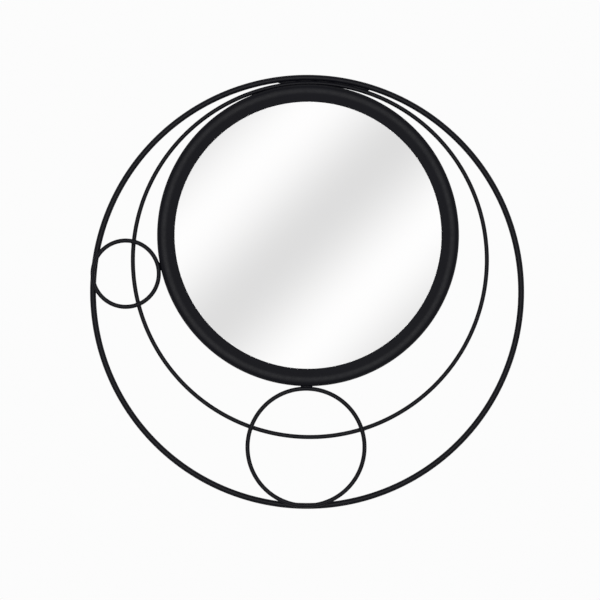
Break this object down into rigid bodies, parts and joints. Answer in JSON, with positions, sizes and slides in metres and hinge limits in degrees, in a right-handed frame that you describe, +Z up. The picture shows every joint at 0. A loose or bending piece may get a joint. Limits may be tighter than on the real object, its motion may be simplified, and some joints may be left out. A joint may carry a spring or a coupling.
{
  "type": "wall mirror",
  "caption": "Round wall mirror in a rounded black metal moulding, set off centre among welded wire rings of different sizes, with turn clips and keyhole hangers behind.",
  "frame": {"origin": "on the wall plane behind the middle of the glass, halfway between the entry holes of the two keyhole hangers", "axes": "+X to the right as seen from the front, -Y out of the wall towards the viewer, +Z up"},
  "size_m": [0.6109, 0.0207, 0.6109],
  "materials": {
    "satin_black": "satin black powder coat",
    "mirror_glass": "silvered behind",
    "gasket_rubber": "matt",
    "white_foam": "closed-cell foam",
    "hardboard": "pressed wood fibre, smooth",
    "zinc_steel": "bright zinc plate",
    "rivet_aluminium": "plain",
    "bumper_rubber": "matt"
  },
  "bodies": {
    "mirror": {"outer_ring": "satin_black", "middle_ring": "satin_black", "bottom_ring": "satin_black", "side_ring": "satin_black", "weld_outer_to_middle_ring": "satin_black", "weld_middle_ring_to_moulding": "satin_black", "welds_bottom_ring": "satin_black", "welds_side_ring": "satin_black", "frame_moulding": "satin_black", "back_ring": "satin_black", "back_ring_tacks": "satin_black", "glass_gasket": "gasket_rubber", "mirror_glass": "mirror_glass", "foam_sheet": "white_foam", "backing_board": "hardboard", "clip_screws": "zinc_steel", "left_hanger": "zinc_steel", "right_hanger": "zinc_steel", "bumper_screws": "zinc_steel", "hanger_rivets": "rivet_aluminium", "wall_bumpers": "bumper_rubber"},
    "turn_clip_1": {"turn_clip_1": "zinc_steel"},
    "turn_clip_2": {"turn_clip_2": "zinc_steel"},
    "turn_clip_3": {"turn_clip_3": "zinc_steel"},
    "turn_clip_4": {"turn_clip_4": "zinc_steel"},
    "turn_clip_5": {"turn_clip_5": "zinc_steel"},
    "turn_clip_6": {"turn_clip_6": "zinc_steel"},
    "turn_clip_7": {"turn_clip_7": "zinc_steel"},
    "turn_clip_8": {"turn_clip_8": "zinc_steel"}
  },
  "joints": [
    {"name": "turn_clip_1_swivel", "type": "hinge", "parent": "mirror", "child": "turn_clip_1", "pos_m": [0.18603, -0.00563, 0.07706], "axis": [0, -1, 0], "range_deg": [-90, 90]},
    {"name": "turn_clip_2_swivel", "type": "hinge", "parent": "mirror", "child": "turn_clip_2", "pos_m": [0.07706, -0.00563, 0.18603], "axis": [0, -1, 0], "range_deg": [-90, 90]},
    {"name": "turn_clip_3_swivel", "type": "hinge", "parent": "mirror", "child": "turn_clip_3", "pos_m": [-0.07706, -0.00563, 0.18603], "axis": [0, -1, 0], "range_deg": [-90, 90]},
    {"name": "turn_clip_4_swivel", "type": "hinge", "parent": "mirror", "child": "turn_clip_4", "pos_m": [-0.18603, -0.00563, 0.07706], "axis": [0, -1, 0], "range_deg": [-90, 90]},
    {"name": "turn_clip_5_swivel", "type": "hinge", "parent": "mirror", "child": "turn_clip_5", "pos_m": [-0.18603, -0.00563, -0.07706], "axis": [0, -1, 0], "range_deg": [-90, 90]},
    {"name": "turn_clip_6_swivel", "type": "hinge", "parent": "mirror", "child": "turn_clip_6", "pos_m": [-0.07706, -0.00563, -0.18603], "axis": [0, -1, 0], "range_deg": [-90, 90]},
    {"name": "turn_clip_7_swivel", "type": "hinge", "parent": "mirror", "child": "turn_clip_7", "pos_m": [0.07706, -0.00563, -0.18603], "axis": [0, -1, 0], "range_deg": [-90, 90]},
    {"name": "turn_clip_8_swivel", "type": "hinge", "parent": "mirror", "child": "turn_clip_8", "pos_m": [0.18603, -0.00563, -0.07706], "axis": [0, -1, 0], "range_deg": [-90, 90]}
  ]
}
